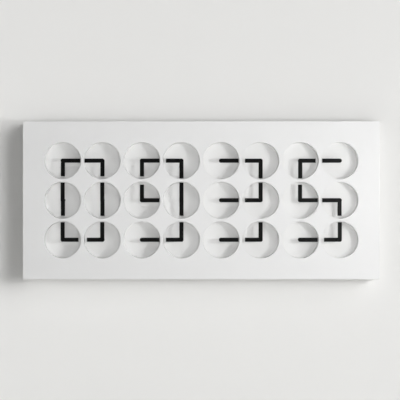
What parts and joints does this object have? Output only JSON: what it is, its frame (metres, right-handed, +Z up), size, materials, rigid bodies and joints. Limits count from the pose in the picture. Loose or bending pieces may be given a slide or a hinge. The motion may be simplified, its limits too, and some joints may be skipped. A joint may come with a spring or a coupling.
{
  "type": "kinetic wall clock",
  "caption": "Wall-hung white slab with rows of round recessed dials, each with two black hands that turn on their own and together draw the time in large numerals.",
  "frame": {"origin": "on the wall plane, at the middle of the wall bracket's four screw holes, which is also the middle of the clock", "axes": "+X to the viewer's right along the long side, +Z up, +Y into the wall, so the dials face -Y"},
  "size_m": [1.003, 0.051, 0.444],
  "materials": {
    "white_powder_coat": "satin",
    "white_dial_coat": "satin",
    "black_hand_lacquer": "satin",
    "black_moulding": "matte",
    "grey_button": "matte",
    "green_board": "satin",
    "brass_spacer": "satin",
    "zinc_steel": "satin",
    "bare_aluminium": "satin"
  },
  "bodies": {
    "root": {"front_casing": "white_powder_coat", "chassis_plate": "white_dial_coat", "movement_cases": "black_moulding", "circuit_boards": "green_board", "hex_spacers": "brass_spacer", "cover_screws": "zinc_steel", "rear_cover": "bare_aluminium", "wall_bracket": "zinc_steel", "power_inlet": "black_moulding"},
    "mode_button": {"mode_button": "grey_button"},
    "minus_button": {"minus_button": "grey_button"},
    "plus_button": {"plus_button": "grey_button"},
    "minute_hand_row1_col1": {"minute_hand_row1_col1": "black_hand_lacquer"},
    "hour_hand_row1_col1": {"hour_hand_row1_col1": "black_hand_lacquer"},
    "minute_hand_row1_col2": {"minute_hand_row1_col2": "black_hand_lacquer"},
    "hour_hand_row1_col2": {"hour_hand_row1_col2": "black_hand_lacquer"},
    "minute_hand_row1_col3": {"minute_hand_row1_col3": "black_hand_lacquer"},
    "hour_hand_row1_col3": {"hour_hand_row1_col3": "black_hand_lacquer"},
    "minute_hand_row1_col4": {"minute_hand_row1_col4": "black_hand_lacquer"},
    "hour_hand_row1_col4": {"hour_hand_row1_col4": "black_hand_lacquer"},
    "minute_hand_row1_col5": {"minute_hand_row1_col5": "black_hand_lacquer"},
    "hour_hand_row1_col5": {"hour_hand_row1_col5": "black_hand_lacquer"},
    "minute_hand_row1_col6": {"minute_hand_row1_col6": "black_hand_lacquer"},
    "hour_hand_row1_col6": {"hour_hand_row1_col6": "black_hand_lacquer"},
    "minute_hand_row1_col7": {"minute_hand_row1_col7": "black_hand_lacquer"},
    "hour_hand_row1_col7": {"hour_hand_row1_col7": "black_hand_lacquer"},
    "minute_hand_row1_col8": {"minute_hand_row1_col8": "black_hand_lacquer"},
    "hour_hand_row1_col8": {"hour_hand_row1_col8": "black_hand_lacquer"},
    "minute_hand_row2_col1": {"minute_hand_row2_col1": "black_hand_lacquer"},
    "hour_hand_row2_col1": {"hour_hand_row2_col1": "black_hand_lacquer"},
    "minute_hand_row2_col2": {"minute_hand_row2_col2": "black_hand_lacquer"},
    "hour_hand_row2_col2": {"hour_hand_row2_col2": "black_hand_lacquer"},
    "minute_hand_row2_col3": {"minute_hand_row2_col3": "black_hand_lacquer"},
    "hour_hand_row2_col3": {"hour_hand_row2_col3": "black_hand_lacquer"},
    "minute_hand_row2_col4": {"minute_hand_row2_col4": "black_hand_lacquer"},
    "hour_hand_row2_col4": {"hour_hand_row2_col4": "black_hand_lacquer"},
    "minute_hand_row2_col5": {"minute_hand_row2_col5": "black_hand_lacquer"},
    "hour_hand_row2_col5": {"hour_hand_row2_col5": "black_hand_lacquer"},
    "minute_hand_row2_col6": {"minute_hand_row2_col6": "black_hand_lacquer"},
    "hour_hand_row2_col6": {"hour_hand_row2_col6": "black_hand_lacquer"},
    "minute_hand_row2_col7": {"minute_hand_row2_col7": "black_hand_lacquer"},
    "hour_hand_row2_col7": {"hour_hand_row2_col7": "black_hand_lacquer"},
    "minute_hand_row2_col8": {"minute_hand_row2_col8": "black_hand_lacquer"},
    "hour_hand_row2_col8": {"hour_hand_row2_col8": "black_hand_lacquer"},
    "minute_hand_row3_col1": {"minute_hand_row3_col1": "black_hand_lacquer"},
    "hour_hand_row3_col1": {"hour_hand_row3_col1": "black_hand_lacquer"},
    "minute_hand_row3_col2": {"minute_hand_row3_col2": "black_hand_lacquer"},
    "hour_hand_row3_col2": {"hour_hand_row3_col2": "black_hand_lacquer"},
    "minute_hand_row3_col3": {"minute_hand_row3_col3": "black_hand_lacquer"},
    "hour_hand_row3_col3": {"hour_hand_row3_col3": "black_hand_lacquer"},
    "minute_hand_row3_col4": {"minute_hand_row3_col4": "black_hand_lacquer"},
    "hour_hand_row3_col4": {"hour_hand_row3_col4": "black_hand_lacquer"},
    "minute_hand_row3_col5": {"minute_hand_row3_col5": "black_hand_lacquer"},
    "hour_hand_row3_col5": {"hour_hand_row3_col5": "black_hand_lacquer"},
    "minute_hand_row3_col6": {"minute_hand_row3_col6": "black_hand_lacquer"},
    "hour_hand_row3_col6": {"hour_hand_row3_col6": "black_hand_lacquer"},
    "minute_hand_row3_col7": {"minute_hand_row3_col7": "black_hand_lacquer"},
    "hour_hand_row3_col7": {"hour_hand_row3_col7": "black_hand_lacquer"},
    "minute_hand_row3_col8": {"minute_hand_row3_col8": "black_hand_lacquer"},
    "hour_hand_row3_col8": {"hour_hand_row3_col8": "black_hand_lacquer"}
  },
  "joints": [
    {"name": "mode_button_press", "type": "slide", "parent": "root", "child": "mode_button", "axis": [0, 0, 1], "range_m": [0, 0.0012], "stiffness_N_per_m": 400, "springref_m": -0.001},
    {"name": "minus_button_press", "type": "slide", "parent": "root", "child": "minus_button", "axis": [0, 0, 1], "range_m": [0, 0.0012], "stiffness_N_per_m": 400, "springref_m": -0.001},
    {"name": "plus_button_press", "type": "slide", "parent": "root", "child": "plus_button", "axis": [0, 0, 1], "range_m": [0, 0.0012], "stiffness_N_per_m": 400, "springref_m": -0.001},
    {"name": "minute_hand_row1_col1_turn", "type": "hinge", "parent": "root", "child": "minute_hand_row1_col1", "pos_m": [-0.3899, -0.0478, 0.1114], "axis": [0, 1, 0], "continuous": true},
    {"name": "hour_hand_row1_col1_turn", "type": "hinge", "parent": "root", "child": "hour_hand_row1_col1", "pos_m": [-0.3899, -0.0424, 0.1114], "axis": [0, 1, 0], "continuous": true},
    {"name": "minute_hand_row1_col2_turn", "type": "hinge", "parent": "root", "child": "minute_hand_row1_col2", "pos_m": [-0.2785, -0.0478, 0.1114], "axis": [0, 1, 0], "continuous": true},
    {"name": "hour_hand_row1_col2_turn", "type": "hinge", "parent": "root", "child": "hour_hand_row1_col2", "pos_m": [-0.2785, -0.0424, 0.1114], "axis": [0, 1, 0], "continuous": true},
    {"name": "minute_hand_row1_col3_turn", "type": "hinge", "parent": "root", "child": "minute_hand_row1_col3", "pos_m": [-0.1671, -0.0478, 0.1114], "axis": [0, 1, 0], "continuous": true},
    {"name": "hour_hand_row1_col3_turn", "type": "hinge", "parent": "root", "child": "hour_hand_row1_col3", "pos_m": [-0.1671, -0.0424, 0.1114], "axis": [0, 1, 0], "continuous": true},
    {"name": "minute_hand_row1_col4_turn", "type": "hinge", "parent": "root", "child": "minute_hand_row1_col4", "pos_m": [-0.0557, -0.0478, 0.1114], "axis": [0, 1, 0], "continuous": true},
    {"name": "hour_hand_row1_col4_turn", "type": "hinge", "parent": "root", "child": "hour_hand_row1_col4", "pos_m": [-0.0557, -0.0424, 0.1114], "axis": [0, 1, 0], "continuous": true},
    {"name": "minute_hand_row1_col5_turn", "type": "hinge", "parent": "root", "child": "minute_hand_row1_col5", "pos_m": [0.0557, -0.0478, 0.1114], "axis": [0, 1, 0], "continuous": true},
    {"name": "hour_hand_row1_col5_turn", "type": "hinge", "parent": "root", "child": "hour_hand_row1_col5", "pos_m": [0.0557, -0.0424, 0.1114], "axis": [0, 1, 0], "continuous": true},
    {"name": "minute_hand_row1_col6_turn", "type": "hinge", "parent": "root", "child": "minute_hand_row1_col6", "pos_m": [0.1671, -0.0478, 0.1114], "axis": [0, 1, 0], "continuous": true},
    {"name": "hour_hand_row1_col6_turn", "type": "hinge", "parent": "root", "child": "hour_hand_row1_col6", "pos_m": [0.1671, -0.0424, 0.1114], "axis": [0, 1, 0], "continuous": true},
    {"name": "minute_hand_row1_col7_turn", "type": "hinge", "parent": "root", "child": "minute_hand_row1_col7", "pos_m": [0.2785, -0.0478, 0.1114], "axis": [0, 1, 0], "continuous": true},
    {"name": "hour_hand_row1_col7_turn", "type": "hinge", "parent": "root", "child": "hour_hand_row1_col7", "pos_m": [0.2785, -0.0424, 0.1114], "axis": [0, 1, 0], "continuous": true},
    {"name": "minute_hand_row1_col8_turn", "type": "hinge", "parent": "root", "child": "minute_hand_row1_col8", "pos_m": [0.3899, -0.0478, 0.1114], "axis": [0, 1, 0], "continuous": true},
    {"name": "hour_hand_row1_col8_turn", "type": "hinge", "parent": "root", "child": "hour_hand_row1_col8", "pos_m": [0.3899, -0.0424, 0.1114], "axis": [0, 1, 0], "continuous": true},
    {"name": "minute_hand_row2_col1_turn", "type": "hinge", "parent": "root", "child": "minute_hand_row2_col1", "pos_m": [-0.3899, -0.0478, 0], "axis": [0, 1, 0], "continuous": true},
    {"name": "hour_hand_row2_col1_turn", "type": "hinge", "parent": "root", "child": "hour_hand_row2_col1", "pos_m": [-0.3899, -0.0424, 0], "axis": [0, 1, 0], "continuous": true},
    {"name": "minute_hand_row2_col2_turn", "type": "hinge", "parent": "root", "child": "minute_hand_row2_col2", "pos_m": [-0.2785, -0.0478, 0], "axis": [0, 1, 0], "continuous": true},
    {"name": "hour_hand_row2_col2_turn", "type": "hinge", "parent": "root", "child": "hour_hand_row2_col2", "pos_m": [-0.2785, -0.0424, 0], "axis": [0, 1, 0], "continuous": true},
    {"name": "minute_hand_row2_col3_turn", "type": "hinge", "parent": "root", "child": "minute_hand_row2_col3", "pos_m": [-0.1671, -0.0478, 0], "axis": [0, 1, 0], "continuous": true},
    {"name": "hour_hand_row2_col3_turn", "type": "hinge", "parent": "root", "child": "hour_hand_row2_col3", "pos_m": [-0.1671, -0.0424, 0], "axis": [0, 1, 0], "continuous": true},
    {"name": "minute_hand_row2_col4_turn", "type": "hinge", "parent": "root", "child": "minute_hand_row2_col4", "pos_m": [-0.0557, -0.0478, 0], "axis": [0, 1, 0], "continuous": true},
    {"name": "hour_hand_row2_col4_turn", "type": "hinge", "parent": "root", "child": "hour_hand_row2_col4", "pos_m": [-0.0557, -0.0424, 0], "axis": [0, 1, 0], "continuous": true},
    {"name": "minute_hand_row2_col5_turn", "type": "hinge", "parent": "root", "child": "minute_hand_row2_col5", "pos_m": [0.0557, -0.0478, 0], "axis": [0, 1, 0], "continuous": true},
    {"name": "hour_hand_row2_col5_turn", "type": "hinge", "parent": "root", "child": "hour_hand_row2_col5", "pos_m": [0.0557, -0.0424, 0], "axis": [0, 1, 0], "continuous": true},
    {"name": "minute_hand_row2_col6_turn", "type": "hinge", "parent": "root", "child": "minute_hand_row2_col6", "pos_m": [0.1671, -0.0478, 0], "axis": [0, 1, 0], "continuous": true},
    {"name": "hour_hand_row2_col6_turn", "type": "hinge", "parent": "root", "child": "hour_hand_row2_col6", "pos_m": [0.1671, -0.0424, 0], "axis": [0, 1, 0], "continuous": true},
    {"name": "minute_hand_row2_col7_turn", "type": "hinge", "parent": "root", "child": "minute_hand_row2_col7", "pos_m": [0.2785, -0.0478, 0], "axis": [0, 1, 0], "continuous": true},
    {"name": "hour_hand_row2_col7_turn", "type": "hinge", "parent": "root", "child": "hour_hand_row2_col7", "pos_m": [0.2785, -0.0424, 0], "axis": [0, 1, 0], "continuous": true},
    {"name": "minute_hand_row2_col8_turn", "type": "hinge", "parent": "root", "child": "minute_hand_row2_col8", "pos_m": [0.3899, -0.0478, 0], "axis": [0, 1, 0], "continuous": true},
    {"name": "hour_hand_row2_col8_turn", "type": "hinge", "parent": "root", "child": "hour_hand_row2_col8", "pos_m": [0.3899, -0.0424, 0], "axis": [0, 1, 0], "continuous": true},
    {"name": "minute_hand_row3_col1_turn", "type": "hinge", "parent": "root", "child": "minute_hand_row3_col1", "pos_m": [-0.3899, -0.0478, -0.1114], "axis": [0, 1, 0], "continuous": true},
    {"name": "hour_hand_row3_col1_turn", "type": "hinge", "parent": "root", "child": "hour_hand_row3_col1", "pos_m": [-0.3899, -0.0424, -0.1114], "axis": [0, 1, 0], "continuous": true},
    {"name": "minute_hand_row3_col2_turn", "type": "hinge", "parent": "root", "child": "minute_hand_row3_col2", "pos_m": [-0.2785, -0.0478, -0.1114], "axis": [0, 1, 0], "continuous": true},
    {"name": "hour_hand_row3_col2_turn", "type": "hinge", "parent": "root", "child": "hour_hand_row3_col2", "pos_m": [-0.2785, -0.0424, -0.1114], "axis": [0, 1, 0], "continuous": true},
    {"name": "minute_hand_row3_col3_turn", "type": "hinge", "parent": "root", "child": "minute_hand_row3_col3", "pos_m": [-0.1671, -0.0478, -0.1114], "axis": [0, 1, 0], "continuous": true},
    {"name": "hour_hand_row3_col3_turn", "type": "hinge", "parent": "root", "child": "hour_hand_row3_col3", "pos_m": [-0.1671, -0.0424, -0.1114], "axis": [0, 1, 0], "continuous": true},
    {"name": "minute_hand_row3_col4_turn", "type": "hinge", "parent": "root", "child": "minute_hand_row3_col4", "pos_m": [-0.0557, -0.0478, -0.1114], "axis": [0, 1, 0], "continuous": true},
    {"name": "hour_hand_row3_col4_turn", "type": "hinge", "parent": "root", "child": "hour_hand_row3_col4", "pos_m": [-0.0557, -0.0424, -0.1114], "axis": [0, 1, 0], "continuous": true},
    {"name": "minute_hand_row3_col5_turn", "type": "hinge", "parent": "root", "child": "minute_hand_row3_col5", "pos_m": [0.0557, -0.0478, -0.1114], "axis": [0, 1, 0], "continuous": true},
    {"name": "hour_hand_row3_col5_turn", "type": "hinge", "parent": "root", "child": "hour_hand_row3_col5", "pos_m": [0.0557, -0.0424, -0.1114], "axis": [0, 1, 0], "continuous": true},
    {"name": "minute_hand_row3_col6_turn", "type": "hinge", "parent": "root", "child": "minute_hand_row3_col6", "pos_m": [0.1671, -0.0478, -0.1114], "axis": [0, 1, 0], "continuous": true},
    {"name": "hour_hand_row3_col6_turn", "type": "hinge", "parent": "root", "child": "hour_hand_row3_col6", "pos_m": [0.1671, -0.0424, -0.1114], "axis": [0, 1, 0], "continuous": true},
    {"name": "minute_hand_row3_col7_turn", "type": "hinge", "parent": "root", "child": "minute_hand_row3_col7", "pos_m": [0.2785, -0.0478, -0.1114], "axis": [0, 1, 0], "continuous": true},
    {"name": "hour_hand_row3_col7_turn", "type": "hinge", "parent": "root", "child": "hour_hand_row3_col7", "pos_m": [0.2785, -0.0424, -0.1114], "axis": [0, 1, 0], "continuous": true},
    {"name": "minute_hand_row3_col8_turn", "type": "hinge", "parent": "root", "child": "minute_hand_row3_col8", "pos_m": [0.3899, -0.0478, -0.1114], "axis": [0, 1, 0], "continuous": true},
    {"name": "hour_hand_row3_col8_turn", "type": "hinge", "parent": "root", "child": "hour_hand_row3_col8", "pos_m": [0.3899, -0.0424, -0.1114], "axis": [0, 1, 0], "continuous": true}
  ]
}
